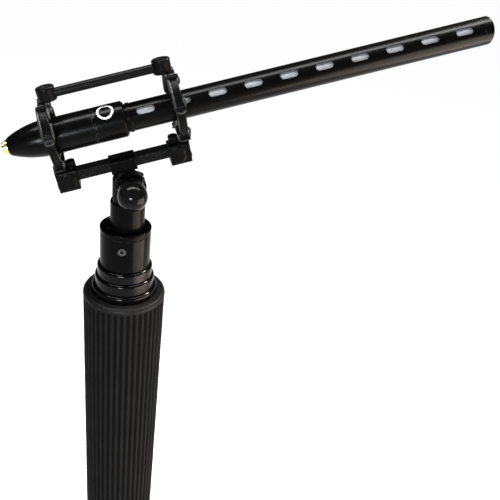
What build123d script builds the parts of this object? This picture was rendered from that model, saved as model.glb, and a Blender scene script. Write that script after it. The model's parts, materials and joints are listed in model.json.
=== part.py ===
from build123d import *
import os
from math import cos, radians, sin, sqrt

# A four-section telescopic boom pole. Its swivel head carries an elastic shock mount that
# holds a slotted shotgun microphone.
#
# Millimetres, +Z up along the pole. The origin is the centre of the pole's butt face.
# The microphone points towards +X and is tilted up; the swivel thumb knob faces -Y.

# ---------------------------------------------------------------- driving dimensions
POLE_LENGTH = 470.0  # butt face to the rim of the head sleeve, every section pushed in
TUBE_RADII = (15.5, 14.0, 12.5, 11.0)  # outer radii of the sections, grip tube first
TUBE_WALL = 1.2
GRIP_RADIUS = 23.05  # over the ribs of the foam grip
GRIP_LENGTH = 292.8
TILT_DEG = 14.8  # microphone axis above the horizontal as the head is stored
STUD_OFFSET = 0.8  # swivel stud in front of the pole axis
PIVOT_OFFSET = 1.7  # tilt pivot in front of the pole axis
PIVOT_HEIGHT = 22.3  # tilt pivot above the sleeve rim
MOUNT_AHEAD = 0.8  # zero of the shock mount's lengths, in front of the tilt pivot
MIC_UP = 34.7  # microphone axis above the tilt pivot, square to the microphone
MIC_BODY_RADIUS = 8.55
MIC_TUBE_RADIUS = 6.7
MIC_FRONT = 186.2  # tip of the microphone along its axis
MIC_BACK = -51.5  # end of the tail cone

# ---------------------------------------------------------------- clearances
RUN = 0.08  # radial, shaft in its bearing
THREAD = 0.1  # radial, between screws and the holes they turn in
GLUE = 0.04  # between pieces that are fixed together
FREE = 0.3  # between pieces that pass each other

# ---------------------------------------------------------------- pole details
SLEEVE_RADIUS = 13.6
SLEEVE_HEIGHT = 22.05
CUP_RADIUS = 11.7
CUP_DEPTH = 6.0
SLEEVE_FLOOR = 13.0  # underside of the solid web, below the rim
GROOVE_DROP = 3.0  # fine line round the sleeve, below the rim
GROOVE = 0.35
STUD_RADIUS = 4.7625  # 3/8 inch stud
STUD_TOP = 6.5  # above the sleeve rim
GRUB_RADIUS = 2.0
GRUB_DROP = 9.5  # screw axis below the rim
GRUB_ANGLES = (-103.0, 17.0, 137.0)
# Lock collars, lower to upper: outer radius, top and bottom below the rim, lid and collet height.
COLLARS = (
    ("lower", 17.95, 35.3, 42.9, 1.5, 5.0),
    ("middle", 16.35, 28.65, 35.0, 1.2, 2.4),
    ("upper", 15.1, 22.35, 28.35, 1.2, 2.2),
)
SKIRT_RADIUS = 16.6  # hidden skirt of the lower collar
SKIRT_BOTTOM = 50.0
SHOULDER_TOP = 39.4
SHOULDER_BOTTOM = 41.7
SHOULDER_ROUND = 2.2
SHOULDER_WALL = 1.5  # of the plug that is glued into the foam
SHOULDER_PLUG = 54.0  # bottom of that plug, below the rim
COLLET_SLITS = 6
PLUG_BOTTOMS = (24.0, 42.0, 58.0)
PLUG_FLANGE = 4.0
PLUG_SPIGOT = 10.0
END_RING_HEIGHT = 7.0
BUTT_RADIUS = 17.6
BUTT_HEIGHT = 34.0
BUTT_FLOOR = 3.0
BUTT_THREAD_RADIUS = 3.97  # 3/8-16 UNC tapping size
BUTT_THREAD_DEPTH = 14.0
BUTT_BOSS_RADIUS = 7.0

# ---------------------------------------------------------------- swivel details
BASE_RADIUS = 9.1
BASE_TOP = 14.7  # above the sleeve rim
POST_RADIUS = 8.3
POST_TOP = 28.0
POST_FLAT = 5.6  # half width over the two milled flats
POST_BEVEL = 3.2  # side of the square cut off its rear top edge
TONGUE_HALF = 2.2
TONGUE_RADIUS = 8.2
SLOT_HALF = TONGUE_HALF + FREE
PIVOT_RADIUS = 2.5
KNOB_BACK = 6.0  # distance of the knob's back face from the middle plane
KNURL_RADIUS = 7.2
KNURL_LENGTH = 5.0
NECK_RADIUS = 6.7
DOME_RADIUS = 7.5
DOME_OUT = 6.6  # centre of the dome from the knob's back face
KNURLS = 30
NUT_HALF_FLATS = 4.0
NUT_HEIGHT = 1.6

# ---------------------------------------------------------------- shock mount details
RAIL_HALF = 3.5
RAIL_LOW = 11.2
RAIL_HIGH = 16.3
RAIL_GROOVES = (-1.5, 0.0, 1.5)
SADDLE_BACK = -7.9
SADDLE_FRONT = 5.2
SADDLE_HALF = 5.0
SADDLE_LOW = 9.6
SADDLE_HIGH = 17.4
SLIDE_GAP = 0.25  # between the rail and what slides on it
HOOP_OUTER = 16.6
HOOP_INNER = 14.7
HOOP_WIDTH = 3.8
HOOK_ANGLES = (24.0, 78.0, 136.0)  # from the top, on both sides
BLOCK_HALF = 5.0
BLOCK_LOW = 6.8
BLOCK_HIGH = 17.6
BLOCK_LENGTH = 9.0
BLOCK_ROUND = 1.3
PAD_HEIGHT = 8.2  # raised pad on each side of a block
PAD_WIDTH = 5.8
PAD_RISE = 0.35
FOOT_THICKNESS = 1.5
THUMB_RADIUS = 2.4
DRUM_RADIUS = 4.4
DRUM_LOW = 51.4
DRUM_HIGH = 58.0
ROD_UP = 54.3
ROD_RADIUS = 2.1
STRAND_RADIUS = 0.6
STRAND_GAP = 0.35  # left between the elastic and the microphone
# Each end of the mount: hoop, inner block face, thumb screw and drum along the microphone axis;
# the sign points out of the mount; the last value is the radius of the microphone there.
ENDS = (
    ("rear", -30.6, -24.2, -26.2, -27.2, -1, MIC_BODY_RADIUS),
    ("front", 30.0, 21.9, 25.3, 26.8, 1, MIC_TUBE_RADIUS),
)

# ---------------------------------------------------------------- microphone details
BODY_BACK = -35.0
BODY_FRONT = 5.5
BODY_WALL = 1.1
TUBE_MIC_WALL = 0.9
SLOT_FIRST = 15.0
SLOT_PITCH = 17.4
SLOT_COUNT = 10
SLOT_LENGTH = 8.8
SLOT_WIDTH = 3.6
SLOT_ROWS = (235.0, 55.0)  # about the microphone axis; 180 is straight up
CAP_LENGTH = 4.4
JACK_RADIUS = 2.7
JACK_BORE = 1.8
JACK_DEPTH = 14.0
JACK_BACK = -54.5

HEAD = Location((PIVOT_OFFSET, 0, POLE_LENGTH + PIVOT_HEIGHT), (0, -TILT_DEG, 0))
MOUNT = HEAD * Pos(MOUNT_AHEAD, 0, 0)
MIC = MOUNT * Pos(0, 0, MIC_UP) * Rot(0, 90, 0)
STUD = Pos(STUD_OFFSET, 0, 0)
RIM = POLE_LENGTH

nodes = {}


def turned(outline, rounds=()):
    """Solid of revolution about Z. The outline is (radius, height) corners.

    rounds lists (corner number, radius) for the corners that are rounded off.
    """
    face = make_face(Polyline(*outline, close=True))
    for corner, radius in rounds:
        near = face.vertices().sort_by_distance(outline[corner])[0]
        face = fillet(near, radius)
    return revolve(Plane.XZ * face, Axis.Z)


def ring(outer, inner, low, high, edge=0.0):
    """Plain ring about Z, with its two outer edges rounded when edge is given."""
    outline = [(inner, low), (outer, low), (outer, high), (inner, high)]
    rounds = [(1, edge), (2, edge)] if edge else []
    return turned(outline, rounds)


def rod(radius, low, high):
    """Solid cylinder about Z from low to high."""
    return Pos(0, 0, low) * extrude(Circle(radius), high - low)


def bar(x, y, z):
    """Box between two corners given as (low, high) pairs."""
    size = [b - a for a, b in (x, y, z)]
    middle = [(a + b) / 2 for a, b in (x, y, z)]
    return Pos(*middle) * Box(*size)


def across(radius, low, high):
    """Solid cylinder along Y between two Y values."""
    return Pos(0, high, 0) * Rot(90, 0, 0) * rod(radius, 0, high - low)


def socket(radius, depth):
    """Hexagonal key socket, sunk downwards from the XY plane."""
    return Pos(0, 0, -depth) * extrude(RegularPolygon(radius, 6), depth + 1)


# ---------------------------------------------------------------- pole
def make_butt():
    """Rubber butt cap, its threaded metal insert and the bumper that the sections land on."""
    tube = TUBE_RADII[0]
    bore = tube - TUBE_WALL
    cap = turned(
        [
            (BUTT_BOSS_RADIUS + GLUE, 0),
            (BUTT_RADIUS, 0),
            (BUTT_RADIUS, BUTT_HEIGHT),
            (tube + GLUE, BUTT_HEIGHT),
            (tube + GLUE, BUTT_FLOOR),
            (BUTT_BOSS_RADIUS + GLUE, BUTT_FLOOR),
        ],
        [(1, 2.4), (2, 1.0)],
    )
    insert_top = BUTT_FLOOR + 15.0
    insert = turned(
        [
            (BUTT_THREAD_RADIUS, 0),
            (BUTT_BOSS_RADIUS, 0),
            (BUTT_BOSS_RADIUS, BUTT_FLOOR + GLUE),
            (bore - GLUE, BUTT_FLOOR + GLUE),
            (bore - GLUE, insert_top),
            (0, insert_top),
            (0, BUTT_THREAD_DEPTH),
            (BUTT_THREAD_RADIUS, BUTT_THREAD_DEPTH),
        ]
    )
    nodes["butt_cap"] = cap
    nodes["butt_insert"] = insert
    nodes["butt_bumper"] = ring(bore - 0.5, 4.0, insert_top + GLUE, insert_top + 4.0)


def make_sections():
    """The four tubes, with a guide plug in the lower end of each sliding one."""
    tops = [RIM - top - lid - collet for _, _, top, _, lid, collet in COLLARS]
    tops.append(RIM - SLEEVE_FLOOR - GLUE)
    lows = [BUTT_FLOOR + GLUE] + [low + PLUG_FLANGE for low in PLUG_BOTTOMS]
    names = ("grip_tube", "tube_second", "tube_third", "tube_fourth")
    for name, radius, low, top in zip(names, TUBE_RADII, lows, tops):
        nodes[name] = ring(radius, radius - TUBE_WALL, low, top)
    for number, low in enumerate(PLUG_BOTTOMS, start=1):
        guide = TUBE_RADII[number - 1] - TUBE_WALL - RUN
        inside = TUBE_RADII[number] - TUBE_WALL - GLUE
        shelf = low + PLUG_FLANGE - GLUE
        top = shelf + PLUG_SPIGOT
        outline = [(2, low), (guide, low), (guide, shelf), (inside, shelf), (inside, top), (2, top)]
        nodes[names[number].replace("tube", "guide_plug")] = turned(outline)


def make_collar(number):
    """Twist-lock collar of one joint and the slit collet that it squeezes on the next tube."""
    name, outer, top, bottom, lid, collet = COLLARS[number]
    tube = TUBE_RADII[number]
    inner = TUBE_RADII[number + 1]
    low = RIM - bottom
    high = RIM - top
    ceiling = high - lid
    outline = [
        (tube + THREAD, low),
        (outer, low),
        (outer, high),
        (inner + FREE, high),
        (inner + FREE, ceiling),
        (tube + THREAD, ceiling),
    ]
    collar = turned(outline, [(1, 0.35), (2, 1.5)])
    if name == "lower":
        collar += ring(SKIRT_RADIUS, tube + THREAD, RIM - SKIRT_BOTTOM, low + 0.5)
    nodes["lock_collar_" + name] = collar
    base = ceiling - collet + GLUE
    slit_low = base + 0.3 * collet
    wedge = turned(
        [
            (inner + RUN, base),
            (tube - 0.15, base),
            (tube - 0.15, base + 0.4 * collet),
            (tube - 0.5, ceiling - FREE),
            (inner + RUN, ceiling - FREE),
        ]
    )
    for place in PolarLocations(0, COLLET_SLITS):
        wedge -= place * bar((inner - 1, tube + 1), (-0.4, 0.4), (slit_low, ceiling))
    nodes["collet_" + name] = wedge


def make_grip():
    """Foam grip with its moulded shoulder and end ring."""
    tube = TUBE_RADII[0]
    top = RIM - SHOULDER_TOP
    low = RIM - SHOULDER_BOTTOM
    plug_low = RIM - SHOULDER_PLUG
    lip = COLLARS[0][1] + FREE
    lip_low = RIM - COLLARS[0][3] - FREE
    skirt_in = SKIRT_RADIUS + FREE
    skirt_low = RIM - SKIRT_BOTTOM - FREE
    plug = lip + SHOULDER_WALL
    nodes["grip_shoulder"] = turned(
        [
            (tube + GLUE, plug_low),
            (plug, plug_low),
            (plug, low),
            (GRIP_RADIUS, low),
            (GRIP_RADIUS, top),
            (lip, top),
            (lip, lip_low),
            (skirt_in, lip_low),
            (skirt_in, skirt_low),
            (tube + GLUE, skirt_low),
        ],
        [(4, SHOULDER_ROUND)],
    )
    foam_low = low - GRIP_LENGTH
    foam = ring(GRIP_RADIUS, tube + GLUE, foam_low, low - GLUE)
    nodes["foam_grip"] = foam - rod(plug + GLUE, plug_low - GLUE, RIM)
    nodes["grip_end_ring"] = turned(
        [
            (tube + GLUE, foam_low - END_RING_HEIGHT),
            (tube + 1.6, foam_low - END_RING_HEIGHT),
            (GRIP_RADIUS - 0.6, foam_low - GLUE),
            (tube + GLUE, foam_low - GLUE),
        ],
        [(1, 0.6)],
    )


def make_sleeve():
    """Head sleeve with its open cup, its stud and the three screws that hold the stud."""
    tube = TUBE_RADII[3] + GLUE
    low = RIM - SLEEVE_HEIGHT
    floor = RIM - CUP_DEPTH
    web = RIM - SLEEVE_FLOOR
    groove = RIM - GROOVE_DROP
    outline = [
        (tube, low),
        (SLEEVE_RADIUS, low),
        (SLEEVE_RADIUS, groove - GROOVE),
        (SLEEVE_RADIUS - GROOVE, groove - GROOVE),
        (SLEEVE_RADIUS - GROOVE, groove),
        (SLEEVE_RADIUS, groove),
        (SLEEVE_RADIUS + 0.2, RIM),
        (CUP_RADIUS, RIM),
        (CUP_RADIUS, floor),
        (0, floor),
        (0, web),
        (tube, web),
    ]
    sleeve = turned(outline, [(1, 0.3), (6, 0.6), (7, 0.4)])
    sleeve -= STUD * rod(STUD_RADIUS + GLUE, web - 1, floor + 1)
    grubs = []
    outer_end = SLEEVE_RADIUS - 0.7
    for angle in GRUB_ANGLES:
        place = Pos(0, 0, RIM - GRUB_DROP) * Rot(0, 0, angle) * Rot(0, 90, 0)
        aside = STUD_OFFSET * sin(radians(angle))
        stud_skin = STUD_OFFSET * cos(radians(angle)) + sqrt(STUD_RADIUS**2 - aside**2)
        sleeve -= place * rod(GRUB_RADIUS + GLUE, stud_skin - 0.3, SLEEVE_RADIUS + 1)
        countersink = Cone(GRUB_RADIUS + 0.1, GRUB_RADIUS + 0.8, 0.8)
        sleeve -= place * Pos(0, 0, SLEEVE_RADIUS - 0.25) * countersink
        grub = rod(GRUB_RADIUS, stud_skin + 0.1, outer_end)
        grubs.append(place * (grub - Pos(0, 0, outer_end) * socket(1.1, 2.0)))
    nodes["head_sleeve"] = sleeve
    nodes["stud_grub_screws"] = Compound(children=[Part() + grub for grub in grubs])
    flange = web - GLUE
    stud = rod(STUD_RADIUS, flange - 1.0, RIM + STUD_TOP)
    stud = chamfer(stud.edges().group_by(Axis.Z)[-1], 0.7)
    head = extrude(Pos(0, 0, flange - 3.0) * RegularPolygon(7.0, 6), 3.0)
    nodes["head_stud"] = STUD * (stud + head)


# ---------------------------------------------------------------- swivel
def make_swivel_base():
    """Round base on the stud, carrying a flat-sided post slotted for the tongue."""
    low = RIM - CUP_DEPTH + FREE
    top = RIM + BASE_TOP
    post_top = RIM + POST_TOP
    pivot_z = RIM + PIVOT_HEIGHT
    outline = [
        (0, RIM + STUD_TOP + FREE),
        (STUD_RADIUS + THREAD, RIM + STUD_TOP + FREE),
        (STUD_RADIUS + THREAD, low),
        (BASE_RADIUS, low),
        (BASE_RADIUS, top),
        (0, top),
    ]
    base = turned(outline, [(3, 0.4), (4, 0.6)])
    post = rod(POST_RADIUS, top - 0.5, post_top)
    base += post & bar((-20, 20), (-POST_FLAT, POST_FLAT), (top - 1, post_top + 1))
    base -= Pos(-POST_RADIUS, 0, post_top) * Rot(0, 45, 0) * Box(POST_BEVEL, 30, POST_BEVEL)
    base -= bar((-20, 20), (-SLOT_HALF, SLOT_HALF), (pivot_z - TONGUE_RADIUS - FREE, post_top + 1))
    base = STUD * base
    pivot = Pos(PIVOT_OFFSET, 0, pivot_z)
    base -= pivot * across(PIVOT_RADIUS + RUN, -20, 20)
    nut_face = POST_FLAT - NUT_HEIGHT
    hexagon = Plane.XZ * RegularPolygon(NUT_HALF_FLATS + GLUE, 6, major_radius=False)
    base -= pivot * Pos(0, nut_face, 0) * extrude(hexagon, -NUT_HEIGHT - 3)
    nodes["swivel_base"] = base
    hexagon = Plane.XZ * RegularPolygon(NUT_HALF_FLATS, 6, major_radius=False)
    nut = Pos(0, nut_face + GLUE, 0) * extrude(hexagon, -NUT_HEIGHT - 0.4)
    nodes["pivot_nut"] = pivot * (nut - across(PIVOT_RADIUS + RUN, -20, 20))


def make_knob():
    """Thumb knob with a knurled rim and a polished dome, on the pivot screw."""
    place = Pos(PIVOT_OFFSET, -KNOB_BACK, RIM + PIVOT_HEIGHT) * Rot(90, 0, 0)
    bore_end = 4.0
    outline = [
        (PIVOT_RADIUS + GLUE, 0),
        (KNURL_RADIUS, 0),
        (KNURL_RADIUS, KNURL_LENGTH),
        (NECK_RADIUS, KNURL_LENGTH + 0.4),
        (NECK_RADIUS, DOME_OUT),
        (0, DOME_OUT),
        (0, bore_end),
        (PIVOT_RADIUS + GLUE, bore_end),
    ]
    knob = turned(outline, [(1, 0.5), (2, 0.4)])
    for groove in PolarLocations(KNURL_RADIUS + 0.1, KNURLS):
        knob -= groove * Pos(0, 0, KNURL_LENGTH / 2) * Rot(0, 0, 45) * Box(0.75, 0.75, 8)
    dome = Sphere(DOME_RADIUS) & rod(20, -DOME_RADIUS / 6, 20)
    nodes["swivel_knob"] = place * (knob + Pos(0, 0, DOME_OUT) * dome)
    screw_end = KNOB_BACK + POST_FLAT + 0.6
    screw = rod(PIVOT_RADIUS, -screw_end, bore_end - GLUE)
    nodes["pivot_screw"] = place * chamfer(screw.edges().group_by(Axis.Z)[0], 0.5)
    gap = KNOB_BACK - POST_FLAT
    nodes["knob_washer"] = place * ring(5.2, PIVOT_RADIUS + GLUE, -gap + 0.06, -GLUE)


# ---------------------------------------------------------------- shock mount
def make_saddle():
    """Tongue of the swivel and the saddle on it that grips the rail."""
    tongue = across(TONGUE_RADIUS, -TONGUE_HALF, TONGUE_HALF)
    tongue += bar((-3.1, 4.4), (-TONGUE_HALF, TONGUE_HALF), (0, SADDLE_LOW + 0.5))
    tongue -= across(PIVOT_RADIUS + RUN, -20, 20)
    ends = (SADDLE_BACK, SADDLE_FRONT)
    shell = bar(ends, (-SADDLE_HALF, SADDLE_HALF), (SADDLE_LOW, SADDLE_HIGH))
    shell = fillet(shell.edges().filter_by(Axis.X), 2.0)
    shell = fillet(shell.edges().filter_by(GeomType.LINE).group_by(Axis.X)[-1], 0.4)
    gap = SLIDE_GAP
    hollow = bar(
        (SADDLE_BACK - 1, SADDLE_FRONT + 1),
        (-RAIL_HALF - gap, RAIL_HALF + gap),
        (RAIL_LOW - gap, RAIL_HIGH + gap),
    )
    middle = (SADDLE_BACK + SADDLE_FRONT) / 2
    height = (RAIL_LOW + RAIL_HIGH) / 2
    screw_at = Pos(middle, SADDLE_HALF, height) * Rot(-90, 0, 0)
    shell = shell - hollow - screw_at * rod(1.5 + GLUE, -3, 1)
    nodes["saddle"] = MOUNT * shell + HEAD * tongue
    reach = SADDLE_HALF - RAIL_HALF - 0.15
    grub = rod(1.5, -reach, 0.2) - Pos(0, 0, 0.2) * socket(0.8, 0.9)
    nodes["saddle_grub_screw"] = MOUNT * screw_at * grub


def make_rail():
    """Lower rail, grooved along both sides, and the round rod at the top of the mount."""
    height = RAIL_HIGH - RAIL_LOW
    section = Rectangle(2 * RAIL_HALF, height)
    section = fillet(section.vertices(), 0.4)
    for side in (-RAIL_HALF, RAIL_HALF):
        for offset in RAIL_GROOVES:
            section -= Pos(side, offset) * Rectangle(0.7, 0.55)
    back = ENDS[0][2] - BLOCK_LENGTH + 1.6
    front = ENDS[1][2] + BLOCK_LENGTH - 1.6
    profile = Plane.YZ * section
    rail = Pos(back, 0, (RAIL_LOW + RAIL_HIGH) / 2) * extrude(profile, front - back)
    nodes["rail"] = MOUNT * rail
    low = ENDS[0][4] - DRUM_RADIUS + 1.5
    high = ENDS[1][4] + DRUM_RADIUS - 1.5
    nodes["upper_rod"] = MOUNT * Pos(0, 0, ROD_UP) * Rot(0, 90, 0) * rod(ROD_RADIUS, low, high)


def make_hoop(at, sign, block_inner):
    """Hoop with band hooks, a lug for the drum on top and a foot behind the block."""
    turn = Pos(at, 0, MIC_UP) * Rot(0, 90, 0)
    hoop = turn * ring(HOOP_OUTER, HOOP_INNER, -HOOP_WIDTH / 2, HOOP_WIDTH / 2, 0.5)
    for angle in HOOK_ANGLES:
        for side in (-angle, angle):
            hook = Pos(at, 0, MIC_UP) * Rot(side, 0, 0)
            hoop += hook * bar((-1.6, 1.6), (-0.9, 0.9), (HOOP_OUTER - 0.6, HOOP_OUTER + 1.2))
            hoop += hook * bar((-2.6, 2.6), (-0.9, 0.9), (HOOP_OUTER + 0.8, HOOP_OUTER + 1.5))
    half = HOOP_WIDTH / 2
    lug = bar((at - half, at + half), (-3.2, 3.2), (48.5, DRUM_LOW - GLUE))
    hoop = hoop + lug - Pos(at, 0, 0) * rod(1.2 + GLUE, 49.5, 60)
    block_outer = block_inner + sign * BLOCK_LENGTH
    face = block_outer + sign * GLUE
    plate = sorted((face, face + sign * FOOT_THICKNESS))
    foot = bar(plate, (-BLOCK_HALF, BLOCK_HALF), (BLOCK_LOW, BLOCK_HIGH + 1.6))
    hoop += fillet(foot.edges().filter_by(Axis.X), BLOCK_ROUND)
    shelf = sorted((face + sign * FOOT_THICKNESS, at - sign * half))
    hoop += bar(shelf, (-4.0, 4.0), (BLOCK_HIGH + GLUE, BLOCK_HIGH + 1.6))
    screw_at = Pos(face, 0, (BLOCK_LOW + RAIL_LOW) / 2) * Rot(0, 90 * sign, 0)
    return hoop - screw_at * rod(0.9, -1, 3), screw_at


def make_block(inner, sign, thumb_at, screw_at):
    """Block that the rail plugs into, with a boss for its thumb screw."""
    outer = inner + sign * BLOCK_LENGTH
    block = bar(sorted((inner, outer)), (-BLOCK_HALF, BLOCK_HALF), (BLOCK_LOW, BLOCK_HIGH))
    block = fillet(block.edges().filter_by(Axis.X), BLOCK_ROUND)
    block += Pos(thumb_at, 0, 0) * rod(2.3, BLOCK_HIGH - 1, BLOCK_HIGH + 0.8)
    pads = extrude(Plane.XZ * Rot(0, 0, 90) * SlotOverall(PAD_HEIGHT, PAD_WIDTH), BLOCK_HALF + PAD_RISE, both=True)
    block += Pos((inner + outer) / 2, 0, (BLOCK_LOW + BLOCK_HIGH) / 2) * pads
    pocket = sorted((inner - sign, outer - sign * 1.3))
    gap = SLIDE_GAP
    block -= bar(
        pocket,
        (-RAIL_HALF - gap, RAIL_HALF + gap),
        (RAIL_LOW - gap, RAIL_HIGH + gap),
    )
    block -= Pos(thumb_at, 0, 0) * rod(1.5 + THREAD, RAIL_HIGH - 1, BLOCK_HIGH + 3)
    return block - screw_at * rod(0.8 + GLUE, -5, 0.5)


def make_thumb_screw(at):
    """Small knurled thumb screw that presses on the rail."""
    low = BLOCK_HIGH + 1.0
    outline = [(0, low), (THUMB_RADIUS, low), (THUMB_RADIUS, low + 2.6), (0, low + 3.0)]
    knob = turned(outline, [(1, 0.25), (2, 0.5)])
    for groove in PolarLocations(THUMB_RADIUS + 0.05, 18):
        knob -= groove * Pos(0, 0, low + 1.2) * Rot(0, 0, 45) * Box(0.3, 0.3, 4)
    return Pos(at, 0, 0) * (knob + rod(1.5, RAIL_HIGH + 0.1, low + 0.1))


def make_drum(at, sign, hoop_at):
    """Short round clamp on the hoop that holds one end of the upper rod."""
    drum = Pos(at, 0, 0) * turned(
        [(0, DRUM_LOW), (DRUM_RADIUS, DRUM_LOW), (DRUM_RADIUS, DRUM_HIGH), (0, DRUM_HIGH)],
        [(1, 0.4), (2, 0.8)],
    )
    drum += Pos(hoop_at, 0, 0) * rod(1.2, DRUM_LOW - 1.8, DRUM_LOW + 0.3)
    reach = sorted((at - sign * 8, at + sign * (DRUM_RADIUS - 1.2)))
    bore = Pos(0, 0, ROD_UP) * Rot(0, 90, 0) * rod(ROD_RADIUS + RUN, *reach)
    return drum - bore - Pos(at, 0, 0) * rod(1.25 + GLUE, ROD_UP, DRUM_HIGH + 1)


def make_elastic(at, mic_radius):
    """Four straight runs of the elastic loop round the microphone, as plain round bars."""
    offset = mic_radius + STRAND_GAP + STRAND_RADIUS
    reach = sqrt((HOOP_INNER - 0.2) ** 2 - (offset + STRAND_RADIUS) ** 2) - 0.1
    strand = rod(STRAND_RADIUS, -reach, reach)
    runs = []
    for side in (-offset, offset):
        runs.append(Pos(at - 0.8, side, MIC_UP) * strand)
        runs.append(Pos(at + 0.8, 0, MIC_UP + side) * Rot(90, 0, 0) * strand)
    return runs


def make_mount_end(name, hoop_at, inner, thumb_at, drum_at, sign, mic_radius):
    """Every piece of one end of the shock mount."""
    hoop, screw_at = make_hoop(hoop_at, sign, inner)
    nodes["hoop_" + name] = MOUNT * hoop
    nodes["rail_block_" + name] = MOUNT * make_block(inner, sign, thumb_at, screw_at)
    nodes["thumb_screw_" + name] = MOUNT * make_thumb_screw(thumb_at)
    nodes["rod_clamp_" + name] = MOUNT * make_drum(drum_at, sign, hoop_at)
    top = DRUM_HIGH - 0.3
    screw = rod(1.25, ROD_UP + ROD_RADIUS + 0.1, top) - Pos(0, 0, top) * socket(0.7, 0.8)
    nodes["rod_screw_" + name] = MOUNT * Pos(drum_at, 0, 0) * screw
    head = rod(1.5, FOOT_THICKNESS + GLUE, FOOT_THICKNESS + 0.7)
    screw = head - Pos(0, 0, FOOT_THICKNESS + 0.7) * socket(0.7, 0.4)
    nodes["hoop_screw_" + name] = MOUNT * screw_at * (screw + rod(0.8, -0.9, FOOT_THICKNESS + 0.3))
    runs = [MOUNT * run for run in make_elastic(hoop_at, mic_radius)]
    nodes["elastic_" + name] = Compound(children=[Part() + run for run in runs])


# ---------------------------------------------------------------- microphone
def make_mic_shells():
    """Tail cone, body, neck ring, slotted tube, its gauze liner and the front cap."""
    bore = MIC_BODY_RADIUS - BODY_WALL
    shape = Polyline((JACK_RADIUS + GLUE, MIC_BACK), (3.9, MIC_BACK))
    shape += ThreePointArc((3.9, MIC_BACK), (4.4, MIC_BACK + 0.6), (5.0, MIC_BACK + 1.9))
    crown = ((5.0, MIC_BACK + 1.9), (7.35, -42.6), (MIC_BODY_RADIUS, BODY_BACK))
    shape += ThreePointArc(*crown)
    shape += Polyline(
        (MIC_BODY_RADIUS, BODY_BACK),
        (bore - GLUE, BODY_BACK),
        (bore - GLUE, BODY_BACK + 3),
        (bore - 1, BODY_BACK + 3),
        (bore - 1, BODY_BACK - 4),
        (JACK_RADIUS + GLUE, BODY_BACK - 8),
        (JACK_RADIUS + GLUE, MIC_BACK),
    )
    nodes["mic_tail"] = MIC * revolve(Plane.XZ * make_face(shape), Axis.Z)
    body = turned(
        [
            (bore, BODY_BACK + GLUE),
            (MIC_BODY_RADIUS, BODY_BACK + GLUE),
            (MIC_BODY_RADIUS, BODY_FRONT - 1.1),
            (MIC_BODY_RADIUS - 1.1, BODY_FRONT),
            (MIC_TUBE_RADIUS + GLUE, BODY_FRONT),
            (MIC_TUBE_RADIUS + GLUE, BODY_FRONT - 7),
            (bore, BODY_FRONT - 8),
        ],
        [(2, 0.4)],
    )
    for line in (-10.3, -9.3):
        body -= ring(MIC_BODY_RADIUS + 1, MIC_BODY_RADIUS - 0.15, line, line + 0.25)
    nodes["mic_body"] = MIC * body
    low = BODY_FRONT + 0.7
    neck = ring(MIC_TUBE_RADIUS + 0.35, MIC_TUBE_RADIUS + GLUE, low, low + 1.8, 0.2)
    nodes["mic_neck_ring"] = MIC * neck
    tube_bore = MIC_TUBE_RADIUS - TUBE_MIC_WALL
    cap_low = MIC_FRONT - CAP_LENGTH
    tube = ring(MIC_TUBE_RADIUS, tube_bore, BODY_FRONT - 6.8, cap_low - 0.15)
    for row in SLOT_ROWS:
        out = (cos(radians(row)), sin(radians(row)), 0)
        for number in range(SLOT_COUNT):
            middle = (0, 0, SLOT_FIRST + number * SLOT_PITCH)
            face = Plane(origin=middle, x_dir=(0, 0, 1), z_dir=out) * SlotOverall(SLOT_LENGTH, SLOT_WIDTH)
            tube -= extrude(face, 10)
    nodes["mic_tube"] = MIC * tube
    gauze = ring(tube_bore - GLUE, tube_bore - 0.25, BODY_FRONT + 4, cap_low - 4)
    nodes["slot_gauze"] = MIC * gauze
    cap = turned(
        [
            (tube_bore - 1.2, cap_low - 3.5),
            (tube_bore - GLUE, cap_low - 3.5),
            (tube_bore - GLUE, cap_low),
            (MIC_TUBE_RADIUS, cap_low),
            (MIC_TUBE_RADIUS, MIC_FRONT),
            (tube_bore - 0.8, MIC_FRONT),
            (tube_bore - 0.8, cap_low + 2.6),
            (tube_bore - 1.2, cap_low + 2.6),
        ],
        [(4, 0.5)],
    )
    nodes["mic_front_cap"] = MIC * cap
    nodes["front_gauze"] = MIC * rod(tube_bore - 0.8 - GLUE, cap_low + 2.6 + GLUE, cap_low + 3.2)


def make_mic_inside():
    """Output jack with its nut, the circuit board and the capsule in its rubber ring."""
    jack = ring(JACK_RADIUS, JACK_BORE, JACK_BACK, JACK_BACK + JACK_DEPTH, 0.3)
    jack += rod(JACK_RADIUS + 1.2, JACK_BACK + JACK_DEPTH, JACK_BACK + JACK_DEPTH + 4)
    nodes["output_jack"] = MIC * jack
    nut = ring(3.6, JACK_RADIUS + GLUE, MIC_BACK - 1.3, MIC_BACK - GLUE, 0.25)
    for place in PolarLocations(3.6, 4):
        nut -= place * Pos(0, 0, MIC_BACK - 1.3) * Box(1.4, 0.9, 1.2)
    nodes["jack_nut"] = MIC * nut
    board = bar((-0.6, 0.6), (-5.8, 5.8), (-32, -7))
    chips = [
        bar((-2.4, -0.65), (-2.6, 2.6), (-24, -18)),
        bar((-2.2, -0.65), (-4.4, -2.2), (-14, -10)),
        bar((0.65, 3.4), (-2.0, 2.0), (-29, -25)),
        bar((0.65, 2.0), (1.0, 4.6), (-20, -15)),
    ]
    pieces = [MIC * piece for piece in (board, *chips)]
    nodes["preamp_board"] = Compound(children=[Part() + piece for piece in pieces])
    bore = MIC_TUBE_RADIUS - TUBE_MIC_WALL
    capsule = turned([(0, 0.5), (4.7, 0.5), (4.7, 6.5), (0, 6.5)], [(1, 0.3), (2, 0.3)])
    nodes["capsule"] = MIC * capsule
    nodes["capsule_ring"] = MIC * ring(bore - GLUE, 4.7 + GLUE, 1.5, 5.5, 0.3)


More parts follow.
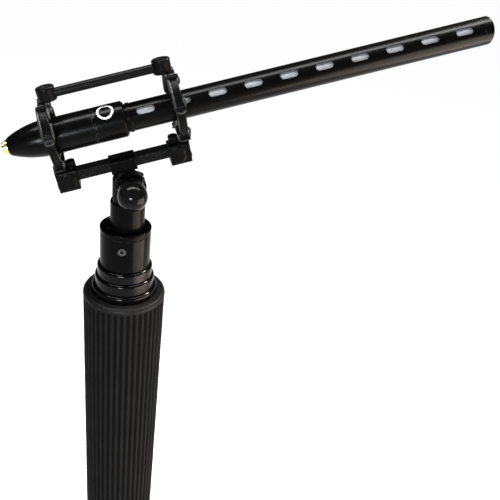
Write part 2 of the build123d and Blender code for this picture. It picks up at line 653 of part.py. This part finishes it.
make_butt()
make_sections()
for collar_number in range(len(COLLARS)):
    make_collar(collar_number)
make_grip()
make_sleeve()
make_swivel_base()
make_knob()
make_saddle()
make_rail()
for end in ENDS:
    make_mount_end(*end)
make_mic_shells()
make_mic_inside()

os.makedirs("parts", exist_ok=True)
for node_name, shape in nodes.items():
    shape.label = node_name
    export_step(shape, f"parts/{node_name}.step")
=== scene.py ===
import json
from math import acos, asin, atan2, cos, degrees, pi, radians, sin, tau

import bmesh
import bpy
from mathutils import Matrix, Vector, noise


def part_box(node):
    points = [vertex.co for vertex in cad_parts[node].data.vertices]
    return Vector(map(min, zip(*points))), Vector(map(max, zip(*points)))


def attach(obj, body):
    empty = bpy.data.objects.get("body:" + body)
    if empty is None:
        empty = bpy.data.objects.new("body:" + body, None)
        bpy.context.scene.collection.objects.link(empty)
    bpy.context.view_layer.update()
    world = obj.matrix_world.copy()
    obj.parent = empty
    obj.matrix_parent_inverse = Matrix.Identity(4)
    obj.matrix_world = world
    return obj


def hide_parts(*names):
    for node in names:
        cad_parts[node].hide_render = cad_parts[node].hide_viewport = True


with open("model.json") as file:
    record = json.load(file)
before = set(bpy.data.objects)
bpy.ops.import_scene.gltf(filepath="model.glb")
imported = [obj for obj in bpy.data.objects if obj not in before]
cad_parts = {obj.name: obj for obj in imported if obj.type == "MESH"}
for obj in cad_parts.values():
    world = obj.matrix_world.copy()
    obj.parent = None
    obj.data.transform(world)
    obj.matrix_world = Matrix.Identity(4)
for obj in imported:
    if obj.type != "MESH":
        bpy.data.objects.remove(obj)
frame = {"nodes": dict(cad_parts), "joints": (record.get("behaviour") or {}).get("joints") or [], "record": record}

# Looks of a boom pole whose swivel head carries a shock-mounted shotgun microphone.
# Metres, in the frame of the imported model. Sizes written in millimetres are times MM.
MM = 0.001
nodes = frame["nodes"]
joints = {joint["name"]: joint for joint in frame["joints"]}
mounts = {mount["name"]: mount for mount in frame["record"]["mounts"]}
body_of_node = {
    node: body for body, members in frame["record"]["behaviour"]["bodies"].items() for node in members
}
slot_of_node = {part["node"]: part["material_slot"] for part in frame["record"]["subparts"]}


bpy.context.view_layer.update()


# ---------------------------------------------------------------- frames of the object
def axes_matrix(x_axis, y_axis, z_axis, origin):
    """Matrix from coordinates along three axes to the row frame."""
    matrix = Matrix((x_axis, y_axis, z_axis)).transposed().to_4x4()
    matrix.translation = origin
    return matrix


AHEAD = Vector(joints["mic_slide"]["axis"])
SIDE = Vector((0, 1, 0))
UP = AHEAD.cross(SIDE)
PIVOT = Vector(joints["head_tilt"]["pos_m"])
MIC_UP = (Vector(mounts["output_jack"]["pos_m"]) - PIVOT).dot(UP)
HEAD = axes_matrix(AHEAD, SIDE, UP, PIVOT)  # x ahead, y aside, z up from the tilt pivot
MIC = axes_matrix(-UP, SIDE, AHEAD, PIVOT + MIC_UP * UP)  # z along the microphone


def span(node, matrix):
    """Lowest and highest corner of a CAD node in the coordinates of a matrix."""
    inverse = matrix.inverted()
    points = [inverse @ vertex.co for vertex in nodes[node].data.vertices]
    low = Vector([min(point[axis] for point in points) for axis in range(3)])
    high = Vector([max(point[axis] for point in points) for axis in range(3)])
    return low, high


# ---------------------------------------------------------------- material building
class Surface:
    """A Principled material whose colour, roughness and relief come from procedural layers."""

    def __init__(self, name, metallic=0.0, specular=0.5):
        self.material = bpy.data.materials.new(name)
        self.material.use_nodes = True
        self.tree = self.material.node_tree
        self.shader = self.tree.nodes["Principled BSDF"]
        self.shader.inputs["Metallic"].default_value = metallic
        self.shader.inputs["Specular IOR Level"].default_value = specular
        self.place = self.node("TexCoord").outputs["Object"]
        self.relief = None

    def feed(self, socket, value):
        """Links a socket to another, or sets its value."""
        if isinstance(value, bpy.types.NodeSocket):
            self.tree.links.new(value, socket)
        else:
            socket.default_value = value

    def node(self, kind, inputs=None, **settings):
        """New shader node with its settings, and its inputs fed by name or number."""
        made = self.tree.nodes.new("ShaderNode" + kind)
        for key, value in settings.items():
            setattr(made, key, value)
        for key, value in (inputs or {}).items():
            self.feed(made.inputs[key], value)
        return made

    def math(self, operation, first, second=0.0):
        """Result of a sum on one or two values."""
        return self.node("Math", {0: first, 1: second}, operation=operation).outputs[0]

    def scaled(self, low, high, value, start=0.0, end=1.0):
        """value taken from start..end to low..high, and held there."""
        ports = {"Value": value, "From Min": start, "From Max": end, "To Min": low, "To Max": high}
        return self.node("MapRange", ports).outputs["Result"]

    def blend(self, factor, first, second):
        """Mix of two colours."""
        made = self.node("Mix", data_type="RGBA")
        self.feed(made.inputs[0], factor)
        self.feed(made.inputs[6], first)
        self.feed(made.inputs[7], second)
        return made.outputs[2]

    def noise(self, cell, detail=3.0, vector=None):
        """Noise from 0 to 1 with cells of a size in metres."""
        ports = {"Vector": vector or self.place, "Scale": 1 / cell, "Detail": detail}
        return self.node("TexNoise", ports).outputs[0]

    def along(self, axis):
        """Distance along an axis, as a vector that varies in that direction alone."""
        dot = self.node("VectorMath", {0: self.place, 1: axis}, operation="DOT_PRODUCT").outputs["Value"]
        return self.node("CombineXYZ", {"X": dot}).outputs[0]

    def raise_by(self, height, depth, strength=1.0):
        """Adds relief of a depth in metres on top of the relief so far."""
        ports = {"Height": height, "Distance": depth, "Strength": strength}
        if self.relief:
            ports["Normal"] = self.relief
        self.relief = self.node("Bump", ports).outputs[0]

    def round_edges(self, radius):
        """Softens the sharp edges of a machined part."""
        self.relief = self.node("Bevel", {"Radius": radius}, samples=4).outputs[0]

    def edge_mask(self, radius, patches):
        """1 on edges where patches is 1, and 0 elsewhere."""
        bent = self.node("Bevel", {"Radius": radius}, samples=4).outputs[0]
        flat = self.node("NewGeometry").outputs["Normal"]
        same = self.node("VectorMath", {0: bent, 1: flat}, operation="DOT_PRODUCT").outputs["Value"]
        return self.math("MULTIPLY", self.scaled(1, 0, same, 0.86, 0.985), patches)

    def finish(self, colour, roughness):
        """Links the layers to the shader and returns the material."""
        self.feed(self.shader.inputs["Base Color"], colour)
        self.feed(self.shader.inputs["Roughness"], roughness)
        if self.relief:
            self.tree.links.new(self.relief, self.shader.inputs["Normal"])
        return self.material


def grey(value, warm=0.0):
    """Near-neutral colour, warmer when warm is above 0."""
    return (value * (1 + warm), value, value * (1 - warm), 1)


def machined(name, tone, roughness, axis, specular=0.3, wear=0.16, lathe=1.0):
    """Black anodised metal: fine turning marks round an axis, faint mottling and bright worn edges."""
    surface = Surface(name, specular=specular)
    surface.round_edges(0.12 * MM)
    lines = surface.noise(0.12 * MM, 2.0, surface.along(axis))
    surface.raise_by(lines, 0.004 * MM * lathe)
    grain = surface.noise(0.09 * MM, 2.0)
    surface.raise_by(grain, 0.003 * MM)
    patches = surface.noise(6 * MM, 4.0)
    wear_mask = surface.edge_mask(0.15 * MM, surface.scaled(0, 1, surface.noise(1.1 * MM), 0.45, 0.62))
    base = surface.blend(patches, grey(tone * 0.8), grey(tone * 1.25, 0.04))
    colour = surface.blend(surface.math("MULTIPLY", wear_mask, 0.5), base, grey(wear, 0.03))
    level = surface.scaled(roughness - 0.04, roughness + 0.05, surface.noise(2.2 * MM, 5.0), 0.3, 0.7)
    return surface.finish(colour, level)


def moulded(name, tone, roughness, grain_size=0.16 * MM, depth=0.02 * MM, specular=0.3):
    """Moulded plastic with an even spark-eroded grain and slightly polished high spots."""
    surface = Surface(name, specular=specular)
    ports = {"Vector": surface.place, "Scale": 1 / grain_size}
    cells = surface.node("TexVoronoi", ports, feature="SMOOTH_F1")
    surface.raise_by(cells.outputs["Distance"], depth)
    surface.raise_by(surface.noise(0.05 * MM), depth * 0.3)
    flow = surface.noise(4 * MM, 4.0)
    colour = surface.blend(flow, grey(tone * 0.85), grey(tone * 1.2, 0.03))
    level = surface.scaled(roughness - 0.05, roughness + 0.06, surface.noise(1.5 * MM, 4.0), 0.3, 0.7)
    return surface.finish(colour, level)


def polished_black():
    """High-gloss black of the thumb knob, with hair-fine scratches."""
    surface = Surface("gloss_black", specular=0.06)
    stretched = surface.node("Mapping", {"Vector": surface.place, "Scale": (1, 9, 3)}).outputs[0]
    scratches = surface.noise(0.4 * MM, 2.0, stretched)
    surface.raise_by(scratches, 0.0015 * MM)
    smudges = surface.noise(3 * MM, 4.0)
    colour = surface.blend(smudges, grey(0.0015), grey(0.003, 0.05))
    return surface.finish(colour, surface.scaled(0.05, 0.12, smudges, 0.35, 0.7))


def foam_skin(name, tone, outer):
    """Closed-cell foam with open pores; the pores and the grooves between the ribs are painted darker as shade,
    and the rib crests painted lighter as if lit.
    """
    surface = Surface(name, specular=0.03)
    surface.shader.inputs["Sheen Weight"].default_value = 0.004
    surface.shader.inputs["Sheen Roughness"].default_value = 0.55
    pores = surface.node("TexVoronoi", {"Vector": surface.place, "Scale": 1 / (0.42 * MM)}, feature="F1")
    holes = surface.scaled(0, 1, pores.outputs["Distance"], 0.05, 0.42)
    surface.raise_by(holes, 0.06 * MM, 0.7)
    surface.raise_by(surface.noise(0.12 * MM), 0.03 * MM, 0.6)
    clouds = surface.noise(11 * MM, 5.0)
    flattened = {0: surface.place, 1: (1, 1, 0)}
    level = surface.node("VectorMath", flattened, operation="MULTIPLY").outputs["Vector"]
    radius = surface.node("VectorMath", {0: level}, operation="LENGTH").outputs["Value"]
    # Mask by distance from the axis for the painted shade: 1 on the rib crests, 0 down in the grooves.
    crest = surface.scaled(0, 1, radius, outer - 0.7 * MM, outer - 0.1 * MM)
    # Painted shade: grooves coloured darker and crests lighter, as light falls on the ribs.
    groove_shade_tone = surface.blend(crest, grey(tone * 0.4), grey(tone * 1.5, 0.02))
    skin = surface.blend(surface.scaled(0, 0.35, clouds), groove_shade_tone, grey(tone * 0.8, -0.02))
    # Painted shade: the pores coloured darker, as if shaded inside.
    colour = surface.blend(holes, grey(tone * 0.55), skin)
    return surface.finish(colour, surface.scaled(0.72, 0.92, clouds, 0.3, 0.7))


def metal(name, colour, roughness, axis=(0, 0, 1), specular=0.5):
    """Bare or plated metal with fine marks round an axis and a little tarnish."""
    surface = Surface(name, metallic=1.0, specular=specular)
    surface.round_edges(0.08 * MM)
    surface.raise_by(surface.noise(0.1 * MM, 2.0, surface.along(axis)), 0.004 * MM)
    tarnish = surface.noise(1.8 * MM, 5.0)
    dark = tuple(channel * 0.72 for channel in colour[:3]) + (1,)
    tint = surface.blend(surface.scaled(0, 1, tarnish, 0.35, 0.7), dark, colour)
    return surface.finish(tint, surface.scaled(roughness, roughness + 0.16, tarnish, 0.35, 0.7))


def woven_steel():
    """Woven steel gauze: crossing wires, with painted shade in a checker standing for the gaps between them."""
    surface = Surface("steel_gauze", metallic=0.55, specular=0.5)
    wires = surface.node("TexChecker", {"Vector": surface.place, "Scale": 1 / (0.3 * MM)}).outputs["Fac"]
    surface.raise_by(surface.noise(0.2 * MM), 0.02 * MM)
    # Painted shade: every other checker cell is darkened to stand for the shaded gaps between the wires.
    shade = surface.scaled(0.75, 1, wires)
    dull = surface.noise(2.5 * MM, 4.0)
    bright = surface.blend(dull, grey(0.20, -0.02), grey(0.26, -0.02))
    colour = surface.blend(shade, grey(0.09), bright)
    return surface.finish(colour, surface.scaled(0.38, 0.55, dull, 0.3, 0.7))


def rubber_cord():
    """Extruded elastic: satin rubber with fine drawn lines."""
    surface = Surface("elastic_cord", specular=0.2)
    surface.raise_by(surface.noise(0.25 * MM, 3.0), 0.02 * MM)
    dust = surface.noise(2 * MM, 4.0)
    colour = surface.blend(dust, grey(0.006), grey(0.016, 0.03))
    return surface.finish(colour, surface.scaled(0.33, 0.5, dust, 0.3, 0.7))


def circuit_board():
    """Solder resist with darker tracks and small component speckle."""
    surface = Surface("circuit_board")
    tracks = surface.node("TexBrick", {"Vector": surface.place, "Scale": 1 / (3 * MM)})
    colour = surface.blend(tracks.outputs["Fac"], (0.02, 0.12, 0.05, 1), (0.05, 0.22, 0.1, 1))
    surface.raise_by(tracks.outputs["Fac"], 0.03 * MM)
    return surface.finish(colour, surface.scaled(0.3, 0.5, surface.noise(1 * MM)))


def printed_white():
    """White pad print with a slightly uneven ink film."""
    surface = Surface("white_print", specular=0.3)
    ink = surface.noise(0.5 * MM, 4.0)
    surface.raise_by(ink, 0.01 * MM)
    return surface.finish(surface.blend(ink, grey(0.34), grey(0.42)), surface.scaled(0.4, 0.6, ink))


POLE_AXIS = (0, 0, 1)
GOLD = (0.86, 0.60, 0.22, 1)
materials = {
    "foam": foam_skin("ribbed_foam", 0.0045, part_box("foam_grip")[1].x),
    "rubber": moulded("matt_rubber", 0.005, 0.45, 0.3 * MM, 0.015 * MM, specular=0.06),
    "elastic": rubber_cord(),
    "pole_tube": machined("tube_anodised", 0.006, 0.3, POLE_AXIS, specular=0.12),
    "collar": machined("collar_gloss", 0.001, 0.13, POLE_AXIS, specular=0.08, lathe=1.0),
    "sleeve": machined("sleeve_semigloss", 0.001, 0.18, POLE_AXIS, specular=0.03, lathe=1.5),
    "swivel": machined("swivel_satin", 0.001, 0.26, POLE_AXIS, specular=0.03),
    "knob": polished_black(),
    "screw": metal("black_oxide_steel", grey(0.08, 0.02), 0.3),
    "mount_plastic": moulded("nylon_black", 0.0015, 0.3, specular=0.035),
    "rail": machined("rail_satin", 0.0025, 0.3, tuple(AHEAD), specular=0.045, lathe=0.5),
    "mic_shell": machined("mic_satin", 0.001, 0.22, tuple(AHEAD), specular=0.045),
    "gauze": woven_steel(),
    "gold": metal("gold_plate", GOLD, 0.16, tuple(AHEAD)),
    "plastic_inner": moulded("acetal_natural", 0.6, 0.4, 0.4 * MM, 0.01 * MM),
    "board": circuit_board(),
    "capsule": metal("capsule_can", grey(0.55), 0.3, tuple(AHEAD)),
}
white_print = printed_white()

for name, node in nodes.items():
    for place in node.material_slots:
        place.material = materials[slot_of_node[name]]


# ---------------------------------------------------------------- mesh building
def loft(name, loops, join=False, cap=False):
    """Mesh through equal closed loops of points.

    join runs the last loop back to the first one; cap closes the two end loops.
    """
    count = len(loops[0])
    faces = []
    for row in range(len(loops) if join else len(loops) - 1):
        here = row * count
        there = (row + 1) % len(loops) * count
        for first in range(count):
            after = (first + 1) % count
            faces.append((here + first, here + after, there + after, there + first))
    if cap:
        faces.append(tuple(range(count)))
        faces.append(tuple(range((len(loops) - 1) * count, len(loops) * count)))
    mesh = bpy.data.meshes.new(name)
    mesh.from_pydata([point for loop in loops for point in loop], [], faces)
    shape = bmesh.new()
    shape.from_mesh(mesh)
    bmesh.ops.recalc_face_normals(shape, faces=shape.faces)
    shape.to_mesh(mesh)
    shape.free()
    return mesh


def piece(name, mesh, matrix, slot, body, stands_for=(), sharp=40.0, material=None):
    """Places a mesh in the row frame and makes it a piece that rides on a body."""
    mesh.transform(matrix)
    mesh.shade_smooth()
    mesh.set_sharp_from_angle(angle=radians(sharp))
    made = bpy.data.objects.new(name, mesh)
    bpy.context.scene.collection.objects.link(made)
    made.data.materials.clear()
    made.data.materials.append(material or materials[slot])
    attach(made, body)
    if stands_for:
        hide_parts(*stands_for)
    return made


def smooth_step(value):
    """0 to 1 with a soft start and end."""
    held = min(1.0, max(0.0, value))
    return held * held * (3 - 2 * held)


# ---------------------------------------------------------------- foam grip
RIB_COUNT = 42
RIB_POINTS = 10  # points of the outline for each rib
RIB_DEPTH = 1.2 * MM
RIB_FADE = 2.4 * MM  # length over which the ribs run out at the ends
RIB_SHARPNESS = 1.6  # above 1 the crests are wider than the grooves
FOAM_STEP = 7.0 * MM  # between two outlines along the grip
FOAM_SAG = 0.12 * MM  # unevenness of the skin
FOAM_CELL = 25 * MM  # size of that unevenness along the grip
PLUG_GAP = 4.3 * MM  # room for the shoulder's plug inside the top of the foam
TUBE_GAP = 0.1 * MM  # clearance round the grip tube and under the plug


def make_foam_grip():
    """Ribbed foam sleeve whose ribs run out at both ends."""
    low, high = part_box("foam_grip")
    outer = high.x
    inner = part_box("grip_tube")[1].x + TUBE_GAP
    plug_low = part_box("grip_shoulder")[0].z - TUBE_GAP
    plug_radius = inner + PLUG_GAP
    count = RIB_COUNT * RIB_POINTS

    def plain_loop(radius, height):
        angles = [tau * step / count for step in range(count)]
        return [Vector((radius * cos(angle), radius * sin(angle), height)) for angle in angles]

    def ribbed_loop(height):
        fade = smooth_step((height - low.z) / RIB_FADE) * smooth_step((high.z - height) / RIB_FADE)
        points = []
        for step in range(count):
            angle = tau * step / count
            groove = ((1 - cos(angle * RIB_COUNT)) / 2) ** RIB_SHARPNESS
            spot = Vector((cos(angle), sin(angle), height / FOAM_CELL))
            sag = FOAM_SAG * (noise.noise(spot * 2.0) + 1) * fade
            radius = outer - RIB_DEPTH * groove * fade - sag
            points.append(Vector((radius * cos(angle), radius * sin(angle), height)))
        return points

    ends = [0, 0.4, 0.8, 1.2, 1.8, 2.4]
    middle = int((high.z - low.z - 2 * RIB_FADE) / FOAM_STEP)
    heights = [low.z + end * MM for end in ends]
    heights += [low.z + RIB_FADE + FOAM_STEP * step for step in range(1, middle)]
    heights += [high.z - end * MM for end in reversed(ends)]
    loops = [plain_loop(inner, low.z)]
    loops += [ribbed_loop(height) for height in heights]
    loops += [
        plain_loop(plug_radius, high.z),
        plain_loop(plug_radius, plug_low),
        plain_loop(inner, plug_low),
    ]
    mesh = loft("ribbed_grip", loops, join=True)
    made = piece("ribbed_grip", mesh, Matrix.Identity(4), "foam", "grip", ["foam_grip"], 60)


# ---------------------------------------------------------------- shock mount
HOOP_INNER = 14.7 * MM
HOOP_OUTER = 16.6 * MM
HOOP_HALF = 1.9 * MM
HOOK_ANGLES = (24.0, 78.0, 136.0)  # of the band hooks, from the top of each hoop
HOOK_TURN = 5.4  # degrees past a hook where the band turns back round it
CORD_RADIUS = 0.6 * MM
CORD_SIDES = 16
CORD_RIBS = 8
EDGE_OUT = 2.3 * MM  # band line beside the hoop's middle plane, under the hooks' flanges
HOOK_OUT = 1.3 * MM  # band line where it crosses the top of the hoop's edge at a hook
RUN_OUT = 0.8 * MM  # of the straight runs, on both sides of the middle plane
RUN_IN = 0.8 * MM  # of the runs' ends, inside the hoop
EDGE_GAP = 0.05 * MM  # between the band and the side of the hoop
SKIN_GAP = 0.03 * MM  # between the band and the outside of the hoop
BESIDE_GAP = 0.15 * MM  # band line outside the hoop's radius, where it runs beside the hoop
MIC_GAP = 0.04 * MM  # between the band and the microphone
STRETCH_STEPS = 6  # points of the stretch between two hooks


def soft_copy(node, voxel, passes):
    """The shape of a CAD node with the rounded edges and inner corners of a moulded part."""
    source = bpy.data.objects.new(node + "_source", nodes[node].data.copy())
    bpy.context.scene.collection.objects.link(source)
    weld = source.modifiers.new("weld", "WELD")
    weld.merge_threshold = 0.001 * MM
    remesh = source.modifiers.new("remesh", "REMESH")
    remesh.mode = "VOXEL"
    remesh.voxel_size = voxel
    smooth = source.modifiers.new("smooth", "SMOOTH")
    smooth.factor = 0.5
    smooth.iterations = passes
    graph = bpy.context.evaluated_depsgraph_get()
    mesh = bpy.data.meshes.new_from_object(source.evaluated_get(graph))
    bpy.data.objects.remove(source)
    return mesh


def make_moulded(node, voxel=0.2 * MM, passes=5):
    """Moulded plastic piece that stands for a CAD node of the shock mount."""
    mesh = soft_copy(node, voxel, passes)
    name = node + "_moulded"
    piece(name, mesh, Matrix.Identity(4), slot_of_node[node], body_of_node[node], [node], 80)


def rounded_path(corners, reach, steps=5):
    """Closed path through corners, each rounded off over a reach or under half its shorter side."""
    path = []
    for number, corner in enumerate(corners):
        before = corners[number - 1] - corner
        after = corners[(number + 1) % len(corners)] - corner
        cut = min(reach, 0.48 * before.length, 0.48 * after.length)
        start = corner + before.normalized() * cut
        end = corner + after.normalized() * cut
        for step in range(steps + 1):
            t = step / steps
            path.append(start * (1 - t) ** 2 + corner * 2 * t * (1 - t) + end * t**2)
    return path


def sweep_closed(name, path, sides, radius_at):
    """Tube along a closed path; its section is carried along without twist."""
    count = len(path)
    tangents = [(path[(k + 1) % count] - path[k - 1]).normalized() for k in range(count)]
    normals = [tangents[0].orthogonal().normalized()]
    for number in range(1, count + 1):
        turn = tangents[number - 1].rotation_difference(tangents[number % count])
        normals.append((turn @ normals[-1]).normalized())
    binormal = tangents[0].cross(normals[0])
    leftover = atan2(normals[count].dot(binormal), normals[count].dot(normals[0]))
    loops = []
    for number in range(count):
        across = tangents[number].cross(normals[number])
        spread = leftover * number / count
        loop = []
        for side in range(sides):
            angle = tau * side / sides
            arm = normals[number] * cos(angle - spread) + across * sin(angle - spread)
            loop.append(path[number] + arm * radius_at(angle))
        loops.append(loop)
    return loft(name, loops, join=True)


def elastic_corners(offset, inner, outer, half):
    """Corners of one elastic loop round a hoop, in the hoop's own coordinates.

    The band crosses the hoop on four straight runs that hold the microphone. At the top
    corners it goes out round the hoop's edge and is stretched along the outside between
    two hooks, and at the bottom corners it is looped once round the lower hook.
    """
    run = inner - RUN_IN
    edge = half + CORD_RADIUS + EDGE_GAP
    skin = outer + CORD_RADIUS + SKIN_GAP
    beside = outer + BESIDE_GAP
    upright = degrees(asin(offset / run))
    level = degrees(acos(offset / run))
    upper, middle, lower = HOOK_ANGLES
    below = 180 - upright
    corners = [
        (RUN_OUT, run, level),
        (edge, inner - 0.2 * MM, level + 2),
        (edge, beside, level + 6),
        (EDGE_OUT, beside, middle),
        (HOOK_OUT, skin, middle + HOOK_TURN),
        (-HOOK_OUT, skin, middle + HOOK_TURN),
    ]
    for step in range(STRETCH_STEPS + 1):
        angle = middle + (upper - middle) * step / STRETCH_STEPS
        corners.append((-EDGE_OUT, beside, angle))
    corners += [
        (-HOOK_OUT, skin, upper - HOOK_TURN),
        (HOOK_OUT, skin, upper - HOOK_TURN),
        (EDGE_OUT, beside, upper),
        (edge, beside, upright - 3),
        (edge, inner - 0.2 * MM, upright - 1),
        (-RUN_OUT, run, upright),
        (-RUN_OUT, run, below),
        (-edge, inner - 0.2 * MM, below + 1),
        (-edge, beside, (below + lower + HOOK_TURN) / 2),
        (-HOOK_OUT, skin, lower + HOOK_TURN),
        (HOOK_OUT, skin, lower + HOOK_TURN),
        (EDGE_OUT, beside, lower),
        (edge, beside, 180 - level - 4),
        (edge, inner - 0.2 * MM, 180 - level - 1),
        (RUN_OUT, run, 180 - level),
    ]
    near = [(ahead, radius, radians(angle)) for ahead, radius, angle in corners]
    far = [(ahead, radius, -angle) for ahead, radius, angle in reversed(near)]
    return [
        Vector((ahead, -radius * sin(angle), radius * cos(angle))) for ahead, radius, angle in near + far
    ]


def make_elastic(end, shell):
    """Elastic loop of one hoop, ribbed along its length."""
    low, high = span("elastic_" + end, HEAD)
    hoop_at = (low.x + high.x) / 2
    mic_radius = span(shell, MIC)[1].y
    offset = mic_radius + CORD_RADIUS + MIC_GAP
    corners = elastic_corners(offset, HOOP_INNER, HOOP_OUTER, HOOP_HALF)
    path = rounded_path(corners, 1.0 * MM)

    def radius_at(angle):
        return CORD_RADIUS * (1 - 0.1 * (1 + cos(CORD_RIBS * angle)) / 2)

    mesh = sweep_closed("elastic_loop_" + end, path, CORD_SIDES * 2, radius_at)
    matrix = HEAD @ Matrix.Translation((hoop_at, 0, MIC_UP))
    piece("elastic_loop_" + end, mesh, matrix, "elastic", end + "_end", ["elastic_" + end], 60)


# ---------------------------------------------------------------- gauze and print
GAUZE_PITCH = 0.36 * MM
GAUZE_WAVE = 0.035 * MM
GAUZE_WALL = 0.2 * MM


def make_gauze():
    """Woven liner seen through the slots: wires pass over and under each other."""
    low, high = span("slot_gauze", MIC)
    radius = high.y - GAUZE_WAVE - 0.01 * MM
    columns = 2 * round(pi * radius / GAUZE_PITCH)
    rows = round((high.z - low.z) / GAUZE_PITCH)
    loops = []
    for row in range(rows + 1):
        height = low.z + (high.z - low.z) * row / rows
        loop = []
        for column in range(columns):
            angle = tau * column / columns
            wave = GAUZE_WAVE * (1 if (row + column) % 2 else -1)
            loop.append(Vector(((radius + wave) * cos(angle), (radius + wave) * sin(angle), height)))
        loops.append(loop)
    back = radius - GAUZE_WALL
    for height in (high.z, low.z):
        angles = [tau * column / columns for column in range(columns)]
        loops.append([Vector((back * cos(angle), back * sin(angle), height)) for angle in angles])
    mesh = loft("slot_gauze_woven", loops, join=True)
    piece("slot_gauze_woven", mesh, MIC, "gauze", "microphone", ["slot_gauze"], 180)


MARK_BACK = 9.0 * MM  # centre of the mark, behind the front of the body
MARK_OUTER = 4.0 * MM
MARK_INNER = 3.0 * MM
MARK_FACING = 214.0  # degrees round the microphone; 180 is straight up
MARK_LIFT = 0.03 * MM
MARK_STEPS = 48


def make_ring_mark():
    """Plain white ring printed on the microphone body."""
    high = span("mic_body", MIC)[1]
    centre = high.z - MARK_BACK
    loops = []
    for size, lift in ((MARK_INNER, 0), (MARK_INNER, MARK_LIFT), (MARK_OUTER, MARK_LIFT), (MARK_OUTER, 0)):
        loop = []
        for step in range(MARK_STEPS):
            turn = tau * step / MARK_STEPS
            angle = radians(MARK_FACING) + size * sin(turn) / high.y
            radius = high.y + lift
            loop.append(Vector((radius * cos(angle), radius * sin(angle), centre + size * cos(turn))))
        loops.append(loop)
    mesh = loft("ring_mark", loops, join=True)
    piece("ring_mark", mesh, MIC, None, "microphone", material=white_print)


make_foam_grip()
for end, shell in (("rear", "mic_body"), ("front", "mic_tube")):
    for part in ("hoop", "rail_block", "rod_clamp"):
        make_moulded(f"{part}_{end}")
    make_elastic(end, shell)
make_gauze()
make_ring_mark()


# ---------------------------------------------------------------- stage, lights and camera
FLOOR_HALF = 9.0
FLOOR_GLOW = 0.96
SKY_LOW = 0.3  # world brightness at the horizon
SKY_HIGH = 0.03  # and overhead
SKY_TOP = 0.35  # upward part of a direction from which on the sky is at its darkest
COOL = (0.86, 0.92, 1)
WARM = (1, 0.86, 0.72)
WARM_KEY = (1, 0.95, 0.88)


def make_floor():
    """Large pale floor that glows faintly, like a lit studio table."""
    mesh = bpy.data.meshes.new("floor")
    half = FLOOR_HALF
    corners = [(-half, -half, 0), (half, -half, 0), (half, half, 0), (-half, half, 0)]
    mesh.from_pydata(corners, [], [(0, 1, 2, 3)])
    floor = bpy.data.objects.new("floor", mesh)
    bpy.context.scene.collection.objects.link(floor)
    surface = Surface("pale_floor", specular=0.1)
    surface.shader.inputs["Emission Color"].default_value = (1, 1, 1, 1)
    surface.shader.inputs["Emission Strength"].default_value = FLOOR_GLOW
    dust = surface.noise(0.08, 3.0)
    mesh.materials.append(surface.finish(surface.blend(dust, grey(0.40), grey(0.44)), 0.85))


def softbox(name, at, target, size, power, colour=(1, 1, 1)):
    """Rectangular area light that faces a target."""
    lamp = bpy.data.lights.new(name, "AREA")
    lamp.shape = "RECTANGLE"
    lamp.size, lamp.size_y = size
    lamp.energy = power
    lamp.color = colour
    made = bpy.data.objects.new(name, lamp)
    bpy.context.scene.collection.objects.link(made)
    made.location = at
    made.rotation_euler = (Vector(target) - Vector(at)).to_track_quat("-Z", "Y").to_euler()
    made.visible_camera = False


def make_sky():
    """World that darkens from the horizon upwards."""
    world = bpy.data.worlds.new("studio")
    world.use_nodes = True
    tree = world.node_tree
    back = tree.nodes["Background"]
    back.inputs["Color"].default_value = (0.96, 0.98, 1.0, 1)
    place = tree.nodes.new("ShaderNodeTexCoord")
    split = tree.nodes.new("ShaderNodeSeparateXYZ")
    ramp = tree.nodes.new("ShaderNodeMapRange")
    for key, value in (("From Min", 0.0), ("From Max", SKY_TOP), ("To Min", SKY_LOW), ("To Max", SKY_HIGH)):
        ramp.inputs[key].default_value = value
    tree.links.new(place.outputs["Generated"], split.inputs["Vector"])
    tree.links.new(split.outputs["Z"], ramp.inputs["Value"])
    tree.links.new(ramp.outputs["Result"], back.inputs["Strength"])
    bpy.context.scene.world = world
    bpy.context.scene.view_settings.view_transform = "Standard"


def make_lights():
    """Strip over the microphone, a small key, a front light and a low warm panel on the right."""
    head = PIVOT
    over = head + Vector((0.05, 0, 0))
    strip = head + Vector((0.05, 0.02, 0.55))
    key = head + Vector((0.42, 0.14, 0.42))
    front = head + Vector((-0.235, -0.645, 0.08))
    panel = head + Vector((0.62, -0.38, -0.25))
    softbox("overhead", strip, over, (0.9, 0.14), 14)
    softbox("key", key, head, (0.07, 0.07), 9, WARM_KEY)
    softbox("front", front, head - Vector((0, 0, 0.05)), (0.2, 0.12), 9, COOL)
    softbox("low_panel", panel, head, (0.7, 0.5), 16, WARM)


CAMERA_AT = Vector((-0.02694, -0.25955, 0.60884))
CAMERA_AZIMUTH = 11.54  # degrees from the side direction towards ahead
CAMERA_ELEVATION = -30.22
CAMERA_ROLL = 4.30
CAMERA_LENS = 40.16
CAMERA_SHIFT = (0.155, -0.0023)


def make_camera():
    """Camera above the grip, looking down past the microphone."""
    azimuth, elevation = radians(CAMERA_AZIMUTH), radians(CAMERA_ELEVATION)
    forward = Vector((sin(azimuth) * cos(elevation), cos(azimuth) * cos(elevation), sin(elevation)))
    level = Vector((cos(azimuth), -sin(azimuth), 0))
    upright = level.cross(forward)
    roll = radians(CAMERA_ROLL)
    right = level * cos(roll) + upright * sin(roll)
    camera = bpy.data.cameras.new("camera")
    camera.lens = CAMERA_LENS
    camera.shift_x, camera.shift_y = CAMERA_SHIFT
    camera.clip_start = 0.01
    made = bpy.data.objects.new("camera", camera)
    made.matrix_world = axes_matrix(right, right.cross(forward), -forward, CAMERA_AT)
    bpy.context.scene.collection.objects.link(made)
    bpy.context.scene.camera = made


make_floor()
make_sky()
make_lights()
make_camera()
